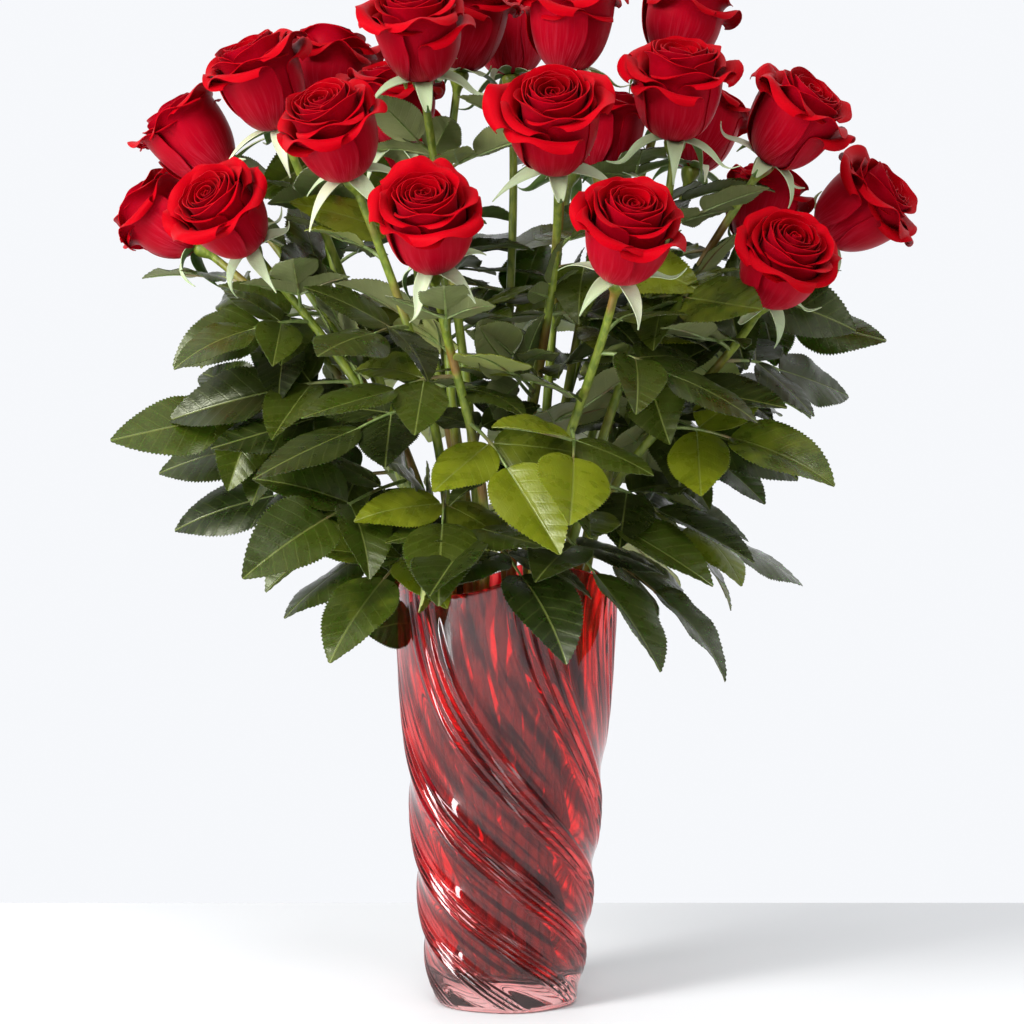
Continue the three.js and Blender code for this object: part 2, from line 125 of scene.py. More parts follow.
LEAF_COLOURS = {  # the skin at its darkest, its usual and its sunniest, and the veins
    "leaf_top": ((0.008, 0.013, 0.001), (0.034, 0.046, 0.003), (0.13, 0.15, 0.005), (0.16, 0.19, 0.04)),
    "leaf_under": ((0.12, 0.14, 0.05), (0.22, 0.24, 0.10), (0.30, 0.33, 0.10), (0.36, 0.38, 0.20)),
    "sepal_inside": ((0.34, 0.42, 0.24), (0.46, 0.52, 0.34), (0.55, 0.58, 0.40), (0.50, 0.56, 0.36)),
    "sepal_outside": ((0.08, 0.15, 0.04), (0.14, 0.23, 0.06), (0.22, 0.32, 0.08), (0.24, 0.33, 0.12)),
}

FLAT = 0.03 * MM  # points and faces within this of a plane lie in it
SHARP_ANGLE = math.radians(55)
FIRST_SEED = 700


# ---------------------------------------------------------------- small vector helpers

def unit(vector):
    return vector / np.linalg.norm(vector)


def smooth(x):
    x = np.clip(x, 0, 1)
    return x * x * (3 - 2 * x)


def mix(a, b, share):
    return a + (b - a) * share


def basis(axis, hint=UP):
    """A right-handed frame as a matrix's columns: x near hint and square to axis, y, and z along axis."""
    z = unit(axis)
    x = hint - z * np.dot(hint, z)
    if np.linalg.norm(x) < 1e-3:
        x = np.array([1.0, 0.0, 0.0]) - z * z[0]
    x = unit(x)
    return np.stack([x, np.cross(z, x), z], axis=1)


def along_curve(angles, lengths):
    """A plane curve from its direction at each step: how far it runs forward and up, starting at 0."""
    steps = np.diff(lengths, axis=0)
    middle = 0.5 * (angles[1:] + angles[:-1])
    forward = np.cumsum(steps * np.cos(middle), axis=0)
    upward = np.cumsum(steps * np.sin(middle), axis=0)
    start = np.zeros((1,) + forward.shape[1:])
    return np.concatenate([start, forward]), np.concatenate([start, upward])


# ---------------------------------------------------------------- meshes

class Piece:
    """One mesh, gathered from sheets and tubes, with pattern places and a tone at its points."""

    def __init__(self):
        self.count = 0
        self.points = []
        self.places = []
        self.tones = []
        self.faces = []

    def add(self, points, places, tone, faces, slot):
        """places are two pattern coordinates a point, and faces is a list of (corners, slot offset)."""
        self.points.append(points.reshape(-1, 3))
        self.places.append(places.reshape(-1, 2))
        self.tones.append(np.broadcast_to(tone, (len(self.points[-1]),)))
        for corners, offset in faces:
            self.faces.append((corners + self.count, slot + offset))
        self.count += len(self.points[-1])

    def sheet(self, grid, places, tone, thickness, slot=0):
        """A thin closed sheet. Its front, where the grid's rows cross its columns, takes slot, and its back
        takes the next slot."""
        rows, cols, _ = grid.shape
        normals = grid_normals(grid)
        points = np.stack([grid + 0.5 * thickness * normals, grid - 0.5 * thickness * normals])
        front = grid_quads(rows, cols)
        behind = rows * cols
        index = np.arange(behind).reshape(rows, cols)
        rim = np.concatenate([index[:-1, 0], index[-1, :-1], index[:0:-1, -1], index[0, :0:-1]])
        after = np.roll(rim, -1)
        edge = np.stack([after, rim, rim + behind, after + behind], axis=1)
        faces = [(front, 0), (edge, 0), (front[:, ::-1] + behind, 1)]
        self.add(points, np.stack([places, places]), tone, faces, slot)

    def tube(self, path, radii, tone, sides, slot=0):
        """A round tube with closed ends. Its pattern runs in metres along it and in turns round it."""
        path = np.asarray(path)
        radii = np.broadcast_to(radii, len(path))
        tangents = np.gradient(path, axis=0)
        tangents /= np.linalg.norm(tangents, axis=1)[:, None]
        side = basis(tangents[0])[:, 0]
        turns = np.arange(sides) / sides
        rings = []
        for centre, tangent, radius in zip(path, tangents, radii):
            side = unit(side - tangent * np.dot(side, tangent))
            other = np.cross(tangent, side)
            angle = 2 * np.pi * turns[:, None]
            rings.append(centre + radius * (np.cos(angle) * side + np.sin(angle) * other))
        travelled = np.concatenate([[0], np.cumsum(np.linalg.norm(np.diff(path, axis=0), axis=1))])
        places = np.stack(np.broadcast_arrays(travelled[:, None], turns[None, :]), axis=2).reshape(-1, 2)
        last = (len(path) - 1) * sides
        ring = np.arange(sides)
        ends = np.array([len(path) * sides, len(path) * sides + 1])
        points = np.concatenate([np.array(rings).reshape(-1, 3), path[:1], path[-1:]])
        places = np.concatenate([places, [[0, 0], [travelled[-1], 0]]])
        caps = np.concatenate([
            np.stack([np.roll(ring, -1), ring, np.full(sides, ends[0])], axis=1),
            np.stack([ring + last, np.roll(ring, -1) + last, np.full(sides, ends[1])], axis=1),
        ])
        self.add(points, places, tone, [(ring_quads(len(path), sides), 0), (caps, 0)], slot)

    def build(self, name, materials, slot, *nodes):
        """The finished object. It stands for the CAD nodes, which it hides. slot is not used."""
        corners = [face for face, _ in self.faces]
        sizes = np.concatenate([np.full(len(face), face.shape[1]) for face in corners])
        loops = np.concatenate([face.reshape(-1) for face in corners])
        mesh = bpy.data.meshes.new(name)
        mesh.vertices.add(self.count)
        mesh.vertices.foreach_set("co", np.concatenate(self.points).reshape(-1))
        mesh.loops.add(len(loops))
        mesh.loops.foreach_set("vertex_index", loops)
        mesh.polygons.add(len(sizes))
        mesh.polygons.foreach_set("loop_start", np.cumsum(sizes) - sizes)
        slots = np.concatenate([np.full(len(face), offset) for face, offset in self.faces])
        mesh.polygons.foreach_set("material_index", slots)
        mesh.update(calc_edges=True)
        uv_map = mesh.uv_layers.new(name="UVMap")
        uv_map.data.foreach_set("uv", np.concatenate(self.places)[loops].reshape(-1))
        tones = mesh.attributes.new("tone", "FLOAT", "POINT")
        tones.data.foreach_set("value", np.concatenate(self.tones).astype(np.float32))
        mesh.validate()
        mesh.shade_smooth()
        mesh.set_sharp_from_angle(angle=SHARP_ANGLE)
        for material in materials:
            mesh.materials.append(material)
        piece = bpy.data.objects.new(name, mesh)
        bpy.context.scene.collection.objects.link(piece)
        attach(piece, BODY)
        if nodes:
            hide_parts(*nodes)
        return piece


def grid_quads(rows, cols):
    corner = (np.arange(rows - 1)[:, None] * cols + np.arange(cols - 1)).reshape(-1)
    return np.stack([corner, corner + cols, corner + cols + 1, corner + 1], axis=1)


def ring_quads(rows, cols):
    """Faces between closed rings. They face outward where the rings run counter-clockwise going up."""
    corner = np.arange(rows - 1)[:, None] * cols
    here = np.arange(cols)
    after = (here + 1) % cols
    above = corner + cols
    corners = np.broadcast_arrays(corner + here, corner + after, above + after, above + here)
    return np.stack(corners, axis=2).reshape(-1, 4)


def grid_normals(grid):
    normals = np.cross(np.gradient(grid, axis=0), np.gradient(grid, axis=1))
    return normals / np.maximum(np.linalg.norm(normals, axis=2), 1e-12)[:, :, None]


# ---------------------------------------------------------------- reading the frame

def solid_of(name):
    """The different vertices of a CAD node, and its faces' centres, normals and areas."""
    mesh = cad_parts[name].data
    points = np.empty(3 * len(mesh.vertices))
    mesh.vertices.foreach_get("co", points)
    facts = {}
    for key, width in (("center", 3), ("normal", 3), ("area", 1)):
        values = np.empty(width * len(mesh.polygons))
        mesh.polygons.foreach_get(key, values)
        facts[key] = values.reshape(-1, width)
    points = np.unique(points.reshape(-1, 3).round(7), axis=0)
    return points, facts["center"], facts["normal"], facts["area"][:, 0]


def find_bloom(name):
    """The bloom's seat, its axis and its size. Its round base lies in the plane with the most corners."""
    points, centres, normals, _ = solid_of(name)
    off_plane = np.abs(np.einsum("fvk,fk->fv", points[None] - centres[:, None], normals))
    on_plane = off_plane < FLAT
    base = np.argmax(on_plane.sum(axis=1))
    seat = points[on_plane[base]].mean(axis=0)
    axis = unit(-normals[base])
    height = ((points - seat) @ axis).max()
    return seat, axis, height / BLOOM["height"]


def find_stem(name, seat, axis):
    """The stem's centre line: straight up to the rim, then bent to the bloom's axis."""
    points = solid_of(name)[0]
    low = points[points[:, 2] < 0.85 * VASE_TOP]  # where no leaf grows
    middle = low.mean(axis=0)
    lean = unit(np.linalg.svd(low - middle)[2][0])
    place = (low - middle) @ (lean * np.sign(lean[2]))
    order = np.argsort(place)
    rings = np.split(low[order], np.flatnonzero(np.diff(place[order]) > 5 * MM) + 1)
    whole = [ring.mean(axis=0) for ring in rings if len(ring) == len(rings[0])]
    foot = whole[0]
    lean = unit(whole[-1] - foot)
    rim = foot + lean * ((VASE_TOP - VASE["rim_wave"] - foot[2]) / lean[2])
    reach = STEM["bend"] * np.linalg.norm(rim - seat)
    share = np.linspace(0, 1, STEM["bend_steps"])[:, None]
    back = 1 - share
    bend = (back ** 3 * rim + 3 * back ** 2 * share * (rim + lean * reach)
            + 3 * back * share ** 2 * (seat - axis * reach) + share ** 3 * seat)
    straight = np.linspace(0, 1, STEM["straight_steps"])[:-1, None]
    return np.concatenate([foot + (rim - foot) * straight, bend])


def find_leaves(name, stem):
    """Each leaf's root on the stem, its direction, its upper side, its size and its pairs of leaflets."""
    points, centres, normals, areas = solid_of(name)
    leaves = []
    free = normals[:, 2] > 0.05
    for face in np.argsort(-areas):
        if not free[face]:
            continue
        normal = normals[face]
        level = (centres - centres[face]) @ normal
        plate = free & (np.abs(level) < FLAT) & (normals @ normal > 0.9999)
        free &= ~plate
        if areas[plate].sum() < LEAF["least_area"]:
            continue
        outline = points[np.abs((points - centres[face]) @ normal) < FLAT]
        from_stem = np.linalg.norm(outline[:, None] - stem[None], axis=2)
        if from_stem.min(axis=1).max() < LEAF["least_reach"]:  # a long face of the stem itself
            continue
        root = stem[from_stem.min(axis=0).argmin()]
        tip = outline[np.linalg.norm(outline - root, axis=1).argmax()]
        forward = tip - root
        forward -= normal * np.dot(forward, normal)
        length = np.linalg.norm(forward)
        forward /= length
        sideways = np.cross(normal, forward)
        wide = np.abs((outline - root) @ sideways) > 0.3 * length
        pairs = 2 if wide.sum() > 3 else 1
        size = length / LEAF["lengths"][pairs]
        if size < LEAF["largest"]:
            leaves.append((root, forward, normal, size, pairs))
    return leaves


# ---------------------------------------------------------------- leaves

def leaflet(length, width, random):
    """A saw-edged oval leaflet from the origin along +X with its upper side up, and its pattern places."""
    rows = 2 * LEAF["teeth"] + 1
    across = np.array([-1, -0.82, -0.6, -0.36, -0.12, 0, 0.12, 0.36, 0.6, 0.82, 1])
    along = np.linspace(0.005, 0.995, rows)
    outline = along ** 0.55 * (1 - along) ** 0.95
    half = np.maximum(0.5 * width * outline / outline.max(), 0.4 * MM)[:, None]
    edge = np.abs(across) == 1
    tip_row = (np.arange(rows) % 2 == 1)[:, None]
    y = across * half * (1 + np.where(tip_row, 1, -1) * LEAF["tooth_depth"] * edge)
    lean_forward = np.where(edge & tip_row, 0.6 * length / rows, 0)
    v = np.abs(y) / (0.5 * width)
    fold = random.uniform(0.05, 0.5)
    veins = np.cos(2 * np.pi * (7 * along[:, None] - 1.7 * v + random.uniform()))
    z = fold * np.abs(y) - random.uniform(0, 0.35) * y ** 2 / (0.5 * width)
    z = z + LEAF["vein_height"] * veins * smooth(4 * v) * (1 - 0.6 * v)
    wave = random.uniform(0.4, 1.6) * MM
    waves = random.uniform(1.2, 2.2) * along[:, None]
    start_of_side = random.uniform(size=2)[(across > 0).astype(int)]
    z = z + wave * v ** 2 * np.sin(2 * np.pi * (waves + start_of_side))
    droop = random.uniform(0.0, LEAF["droop"])
    angles = random.uniform(0, 0.2) - droop * along ** 1.4
    forward, upward = along_curve(angles, length * along)
    x = forward[:, None] + lean_forward - z * np.sin(angles)[:, None]
    z = upward[:, None] + z * np.cos(angles)[:, None]
    places = np.stack([np.broadcast_to(along[:, None], y.shape), y / (0.5 * width)], axis=2)
    spine = np.stack([forward, 0 * forward, upward], axis=1)
    return np.stack([x, y, z], axis=2), places, spine


def turned(yaw, pitch, roll):
    """A frame turned about Z, then tipped up about its own Y, then rolled about its own X."""
    cy, sy, cp, sp, cr, sr = (f(a) for a in (yaw, pitch, roll) for f in (math.cos, math.sin))
    about_z = np.array([[cy, -sy, 0], [sy, cy, 0], [0, 0, 1]])
    about_y = np.array([[cp, 0, -sp], [0, 1, 0], [sp, 0, cp]])
    about_x = np.array([[1, 0, 0], [0, cr, -sr], [0, sr, cr]])
    return about_z @ about_y @ about_x


def add_leaf(piece, leaf, random):
    """A compound leaf: an arched stalk with side leaflets in pairs and one at its end."""
    root, forward, normal, size, pairs = leaf
    axes = np.stack([forward, np.cross(normal, forward), normal], axis=1)
    pair_places = [LEAF["stalk"] + k * LEAF["pair_step"] for k in range(pairs)]
    run = size * (pair_places[-1] + LEAF["end_step"])
    arch = random.uniform(1.5, 4) * MM * size

    def stalk_height(x):
        return arch * np.sin(np.pi * x / run)

    x = np.linspace(0, run, 20)
    stalk = np.stack([x, 0 * x, stalk_height(x)], axis=1) @ axes.T + root
    tone = random.uniform()
    piece.tube(stalk, np.linspace(1.25, 0.7, len(x)) * MM, tone, 7, slot=2)
    blades = [(run, 0, size * LEAF["end_length"])]
    for place in pair_places:
        for side in (-1, 1):
            blades.append((size * place, side, size * LEAF["side_length"] * random.uniform(0.9, 1.02)))
    for place, side, length in blades:
        yaw = side * (LEAF["side_angle"] + random.uniform(-0.15, 0.1))
        pitch = random.uniform(-0.16, 0.08) if side else -arch * np.pi / run
        axes_here = axes @ turned(yaw, pitch, random.uniform(-0.28, 0.28))
        grid, places, spine = leaflet(length, LEAF["width_share"] * length, random)
        base = root + axes @ np.array([place, 0, stalk_height(place)])
        gap = np.array([2.0 * MM * size if side else 0.5 * MM, 0, 0])
        blade_tone = np.clip(tone + random.uniform(-0.25, 0.25), 0, 1)
        piece.sheet((grid + gap) @ axes_here.T + base, places, blade_tone, LEAF["thickness"], slot=0)
        rib = np.concatenate([[np.zeros(3)], spine[:-6:4] + gap - [0, 0, 0.35 * MM]]) @ axes_here.T + base
        piece.tube(rib, np.linspace(0.75, 0.25, len(rib)) * MM, tone, 5, slot=2)


# ---------------------------------------------------------------- blooms

def petal(random, *, azimuth, cup, top, half_width, lean, lip, curl, side_curl, tuck, rows, cols):
    """One petal in the bloom's own frame, in millimetres for a full-size bloom. It rises as a cup to the
    height top at the radius cup, and then its lip bends outward by curl at its middle and side_curl at its
    sides. tuck is how far one side stands outside the other, as a share of the radius."""
    t = np.linspace(-1, 1, cols)[None, :]
    s = np.linspace(0, 1, rows)[:, None]
    cup_share = top / (top + lip)
    q = np.clip(s / cup_share, 0, 1)
    start = min(3.0, 0.5 * cup)
    r = start + (cup - start) * np.sin(q * np.pi / 2) ** 0.8
    z = top * (1 - np.cos(q * np.pi / 2)) ** 0.92
    w = np.clip((s - cup_share) / (1 - cup_share), 0, 1)
    side = smooth(np.abs(t - random.uniform(-0.12, 0.12)) / 0.8)
    angle = lean * (q >= 1) + mix(curl, side_curl, side) * w ** 1.5
    lengths = w * lip * (1 - random.uniform(0.15, 0.4) * np.abs(t) ** 2.4)
    rise, outward = along_curve(angle + 0 * t, lengths)
    r = r + 0 * t + outward
    z = z + 0 * t + rise
    width = half_width * mix(0.22, 1, smooth(1.7 * s)) * (1 - 0.12 * w)
    turn = t * np.minimum(width / np.maximum(r, 0.5), 2.7)
    r = r * (1 + tuck * t * smooth(2 * s))
    ripple_height = random.uniform(0.1, 0.6)
    ripple = ripple_height * np.sin(2 * np.pi * (random.uniform(0.7, 1.6) * t + random.uniform()))
    r = r + ripple * smooth(w) * min(1, cup / 12)
    z = z + 0.6 * ripple * smooth(w)
    angle = azimuth + turn
    grid = np.stack([r * np.cos(angle), r * np.sin(angle), z], axis=2)
    places = np.stack(np.broadcast_arrays(s, 0.5 + 0.5 * t), axis=2)
    return grid, places


def add_bloom(piece, seat, axis, size, random):
    """The petals, from the tight core to the open outermost row."""
    axes = basis(axis) * size * MM
    openness = random.uniform(0.85, 1.15)
    spin = random.uniform(0, 2 * np.pi)
    for k in range(BLOOM["petals"]):
        o = k / (BLOOM["petals"] - 1)
        outer = smooth((o - 0.45) / 0.55)
        core = 1 - smooth(o / 0.3)
        grid, places = petal(
            random,
            azimuth=spin + k * BLOOM["petal_turn"] + random.uniform(-0.15, 0.15),
            cup=2.4 + 21.0 * o ** 0.95,
            top=41.0 - 2.5 * core - random.uniform(3, 16) * outer + random.uniform(-0.8, 0.8),
            half_width=mix(9, 24, smooth(1.15 * o + 0.08)) * random.uniform(0.94, 1.06),
            lean=math.radians(-14 * core + 14 * outer),
            lip=mix(8, 14, outer) * random.uniform(0.85, 1.2),
            curl=math.radians(6 + 12 * o + 75 * outer ** 1.6) * openness * random.uniform(0.7, 1.15),
            side_curl=math.radians(10 + 26 * o + 165 * outer ** 1.3) * openness * random.uniform(0.8, 1.1),
            tuck=mix(0.2, 0.07, smooth(2 * o)),
            rows=22 if outer > 0.25 else 17,
            cols=21,
        )
        # Inner petals get a darker tone, painted shade in the heart of the bloom, with a random spread on
        # top.
        tone = np.clip(0.25 + 0.5 * o + random.uniform(-0.2, 0.2), 0, 1)
        piece.sheet(grid @ axes.T + seat, places, tone, BLOOM["petal_thickness"])


def add_sepals(piece, seat, axis, size, random):
    """The green cup under a bloom and its five bent-back sepals."""
    axes = basis(axis) * size * MM
    spin = random.uniform(0, 2 * np.pi)
    for k in range(SEPAL["count"]):
        length = random.uniform(SEPAL["shortest"], SEPAL["longest"])
        rows, across = 16, np.linspace(-1, 1, 7)[None, :]
        along = np.linspace(0, 0.995, rows)
        outline = (1 - along) ** 1.1 * (0.7 + 2.2 * along * (1 - along))
        half = (SEPAL["half_width"] * outline + 0.25)[:, None]
        bend = random.uniform(0.6, 1.9)
        angles = random.uniform(-0.1, 0.35) - bend * along ** random.uniform(0.6, 1.4)
        if random.uniform() < 0.35:
            angles = angles + 2.0 * smooth((along - 0.55) / 0.45)
        out, up = along_curve(angles, length * along)
        hollow = random.uniform(0.15, 0.5) * half * (across ** 2)
        x = 4.3 + out[:, None] - hollow * np.sin(angles)[:, None]
        z = -0.4 + up[:, None] + hollow * np.cos(angles)[:, None]
        twist = random.uniform(-0.7, 0.7) * along[:, None] ** 2
        y = across * half * np.cos(twist)
        z = z + across * half * np.sin(twist)
        turn = turned(spin + 2 * np.pi * (k + random.uniform(-0.12, 0.12)) / SEPAL["count"], 0, 0)
        grid = np.stack([x, y, z], axis=2) @ turn.T
        places = np.stack(np.broadcast_arrays(along[:, None], 0.5 + 0.5 * across), axis=2)
        piece.sheet(grid @ axes.T + seat, places, random.uniform(), SEPAL["thickness"])
    radii = np.array([2.4, 2.9, 4.2, 5.4, 5.8, 5.2, 3.5])
    below = np.array([13, 10.5, 8, 5, 2.5, 0.8, 0.2])
    cup = seat - below[:, None] * MM * size * axis
    piece.tube(cup, radii * MM * size, random.uniform(), 18, slot=2)


# ---------------------------------------------------------------- vase

def vase_wall(share):
    """The wall's mean outer radius at a share of its height."""
    return VASE["foot_radius"] + (VASE["rim_radius"] - VASE["foot_radius"]) * share ** VASE["swell"]


def rim_lift(angle, share):
    """How far the rim's waves lift the wall at an angle and a share of its height."""
    wave = np.cos(VASE["rim_waves"] * (angle - VASE["rim_peak"]))
    return VASE["rim_wave"] * wave * share ** VASE["wave_reach"]


def ridge_profile():
    """How far a group of ridges and the flute beside it stand out, at places from one group to the next."""
    ridge = np.linspace(-1, 1, 9)[:-1]
    edge = 0.5 * VASE["group_share"]
    width = VASE["group_share"] / VASE["ridges"]
    places, heights = [], []
    for k in range(VASE["ridges"]):
        centre = -edge + (k + 0.5) * width
        places.append(centre + 0.5 * width * ridge)
        tall = 1 - 0.25 * abs(k - 0.5 * (VASE["ridges"] - 1))
        heights.append(VASE["ridge_height"] * tall * (1 - np.abs(ridge) ** 1.35))
    flute = np.linspace(0, 1, 27)[:-1]
    places.append(edge + (1 - VASE["group_share"]) * flute)
    heights.append(-VASE["flute_depth"] * np.sin(np.pi * flute) ** 1.2)
    return np.concatenate(places), np.concatenate(heights)


def build_vase(materials):
    rim = VASE_TOP - VASE["rim_wave"]
    place, height = ridge_profile()
    step = 2 * np.pi / VASE["groups"]
    columns = np.concatenate([(group + place) * step for group in range(VASE["groups"])])
    relief = np.tile(height, VASE["groups"])

    def ring(share, radius, lift=0.0):
        """A ring of points on the twisting columns, at a share of the height."""
        turning = VASE["twist"] * (1 - share) ** VASE["twist_power"]
        angle = VASE["group_angle"] + columns + turning
        z = share * rim + rim_lift(angle, share) + lift
        return np.stack([radius * np.cos(angle), radius * np.sin(angle), z + 0 * angle], axis=1)

    rings = []
    foot_round = VASE["foot_round"]
    inside_floor = VASE["floor"] / rim
    # the underside from its middle outward, and the rounded foot
    for radius in (2 * MM, 12 * MM, 24 * MM, 34 * MM):
        rings.append(ring(0.0, radius))
    for turn in np.linspace(0, 1, 6)[:-1] * np.pi / 2:
        lift = foot_round * (1 - math.cos(turn))
        inset = foot_round * (1 - math.sin(turn))
        rings.append(ring(0.0, vase_wall(0.0) + 0.4 * relief - inset, lift))
    # the ridged outside
    for share in np.linspace(foot_round / rim, 1, 190):
        fade = 0.4 + 0.6 * smooth((share - 0.01) / 0.08)
        fade *= 1 - 0.55 * smooth((share - 0.9) / 0.1)
        rings.append(ring(share, vase_wall(share) + fade * relief))
    # the rounded lip
    lip = 0.5 * VASE["lip"]
    for turn in np.linspace(0, np.pi, 9)[1:-1]:
        outside = (1 + math.cos(turn)) / 2
        radius = vase_wall(1.0) + 0.45 * relief * outside - lip * (1 - math.cos(turn))
        rings.append(ring(1.0, radius, 0.8 * lip * math.sin(turn)))
    # the smooth inside, and its floor
    corner = VASE["floor_corner"]
    for share in np.linspace(1, inside_floor + corner / rim, 60):
        wall = mix(VASE["wall"], VASE["lip"], smooth((share - 0.86) / 0.14))
        rings.append(ring(share, vase_wall(share) - wall))
    low = vase_wall(inside_floor + corner / rim) - VASE["wall"]
    for turn in np.linspace(0, np.pi / 2, 9)[1:]:
        lift = corner * (1 - math.sin(turn))
        rings.append(ring(inside_floor, low - corner * (1 - math.cos(turn)), lift))
    for radius in (20 * MM, 10 * MM, 2 * MM):
        rings.append(ring(inside_floor, radius))
    vase = Piece()
    cols = len(columns)
    points = np.concatenate(rings + [np.array([[0, 0, 0], [0, 0, inside_floor * rim]])])
    here = np.arange(cols)
    after = np.roll(here, -1)
    last = (len(rings) - 1) * cols
    caps = np.concatenate([
        np.stack([after, here, np.full(cols, len(rings) * cols)], axis=1),
        np.stack([here + last, after + last, np.full(cols, len(rings) * cols + 1)], axis=1),
    ])
    around = np.concatenate([np.tile(columns / (2 * np.pi), len(rings)), [0, 0]])
    places = np.stack([around, points[:, 2] / rim], axis=1)
    vase.add(points, places, 0.5, [(ring_quads(len(rings), cols), 0), (caps, 0)], 0)
    return vase.build("vase_glass", materials, "ruby_glass", "vase")


# ---------------------------------------------------------------- materials

class Shader:
    """A material round one Principled BSDF, with short names for the nodes used here."""

    def __init__(self, name, **values):
        self.material = bpy.data.materials.new(name)
        self.material.use_nodes = True
        self.tree = self.material.node_tree
        self.surface = self.tree.nodes["Principled BSDF"]
        for socket, value in values.items():
            self.surface.inputs[socket.replace("_", " ")].default_value = value

    def node(self, kind, inputs=(), **settings):
        node = self.tree.nodes.new(kind)
        for key, value in settings.items():
            setattr(node, key, value)
        for socket, value in dict(inputs).items():
            if isinstance(value, bpy.types.NodeSocket):
                self.tree.links.new(value, node.inputs[socket])
            else:
                node.inputs[socket].default_value = value
        return node

    def math(self, operation, a, b=0.0):
        return self.node("ShaderNodeMath", {0: a, 1: b}, operation=operation).outputs[0]

    def attribute(self, name):
        return self.node("ShaderNodeAttribute", attribute_name=name).outputs["Fac"]

    def places(self):
        """The two pattern coordinates, as sockets."""
        uv = self.node("ShaderNodeTexCoord").outputs["UV"]
        parts = self.node("ShaderNodeSeparateXYZ", {0: uv})
        return parts.outputs[0], parts.outputs[1]

    def pattern_noise(self, along_scale, across_scale, detail=3.0):
        """Noise on the pattern coordinates, drawn out along the one with the smaller scale."""
        along, across = self.places()
        x = self.math("MULTIPLY", along, along_scale)
        y = self.math("MULTIPLY", across, across_scale)
        where = self.node("ShaderNodeCombineXYZ", {0: x, 1: y}).outputs[0]
        return self.noise(where, 1.0, detail)

    def object_noise(self, scale, detail=3.0):
        where = self.node("ShaderNodeTexCoord").outputs["Object"]
        return self.noise(where, scale, detail)

    def noise(self, where, scale, detail=3.0):
        values = {"Vector": where, "Scale": scale, "Detail": detail}
        return self.node("ShaderNodeTexNoise", values).outputs["Fac"]

    def ramp(self, value, *stops):
        node = self.node("ShaderNodeValToRGB", {0: value})
        elements = node.color_ramp.elements
        while len(elements) < len(stops):
            elements.new(0.5)
        for element, (place, colour) in zip(elements, stops):
            element.position = place
            element.color = (*colour, 1) if len(colour) == 3 else colour
        return node.outputs["Color"]

    def fade(self, value, low, high, start=0.0, end=1.0):
        """value's place between low and high, smoothed, as a number from start to end."""
        inputs = {"Value": value, "From Min": low, "From Max": high, "To Min": start, "To Max": end}
        return self.node("ShaderNodeMapRange", inputs, interpolation_type="SMOOTHSTEP").outputs[0]

    def mix(self, share, a, b, blend="MIX"):
        node = self.node("ShaderNodeMix", data_type="RGBA", blend_type=blend)
        for socket, value in ((0, share), (6, a), (7, b)):
            if isinstance(value, bpy.types.NodeSocket):
                self.tree.links.new(value, node.inputs[socket])
            else:
                node.inputs[socket].default_value = (*value, 1) if socket else value
        return node.outputs[2]

    def bump(self, height, strength, distance):
        inputs = {"Height": height, "Strength": strength, "Distance": distance}
        return self.node("ShaderNodeBump", inputs).outputs[0]

    def feed(self, **sockets):
        for socket, source in sockets.items():
            self.tree.links.new(source, self.surface.inputs[socket.replace("_", " ")])
        return self.material


def petal_material(name, dark, light, overlay_colour, painted_light_share, roughness):
    """Velvety skin: a tone for each petal, fine streaks from its base to its edge, a faint sheen, and
    painted light near the base: streaky painted shade on a petal's inside, a streaky painted sheen
    highlight on its back.
    """
    shader = Shader(
        name, Roughness=roughness, Specular_IOR_Level=0.08, Sheen_Weight=0.04, Sheen_Roughness=0.35,
        Sheen_Tint=(1.0, 0.3, 0.35, 1), Specular_Tint=(1.0, 0.22, 0.26, 1),
        Subsurface_Weight=0.1, Subsurface_Scale=0.003, Subsurface_Radius=(1.0, 0.05, 0.04),
    )
    up, _ = shader.places()
    streaks = shader.pattern_noise(3.0, 42.0, 4.0)
    mottle = shader.object_noise(140.0)
    tone = shader.math("ADD", shader.attribute("tone"), shader.math("MULTIPLY", mottle, 0.5))
    colour = shader.ramp(tone, (0.2, dark), (1.15 / 1.5, light))
    # Near the base the streaks mix in the third colour, which is painted light: painted shade darkening a
    # petal's inside and a pink painted sheen highlight on its back.
    near_base = shader.fade(up, 0.05, 0.75, 1.0, 0.0)
    streaky_painted_light = shader.math("MULTIPLY", near_base, shader.fade(streaks, 0.42, 0.62))
    colour = shader.mix(shader.math("MULTIPLY", streaky_painted_light, painted_light_share), colour, overlay_colour)
    height = shader.math("ADD", shader.math("MULTIPLY", streaks, 0.7), shader.math("MULTIPLY", mottle, 0.3))
    return shader.feed(Base_Color=colour, Normal=shader.bump(height, 0.18, 0.0005))


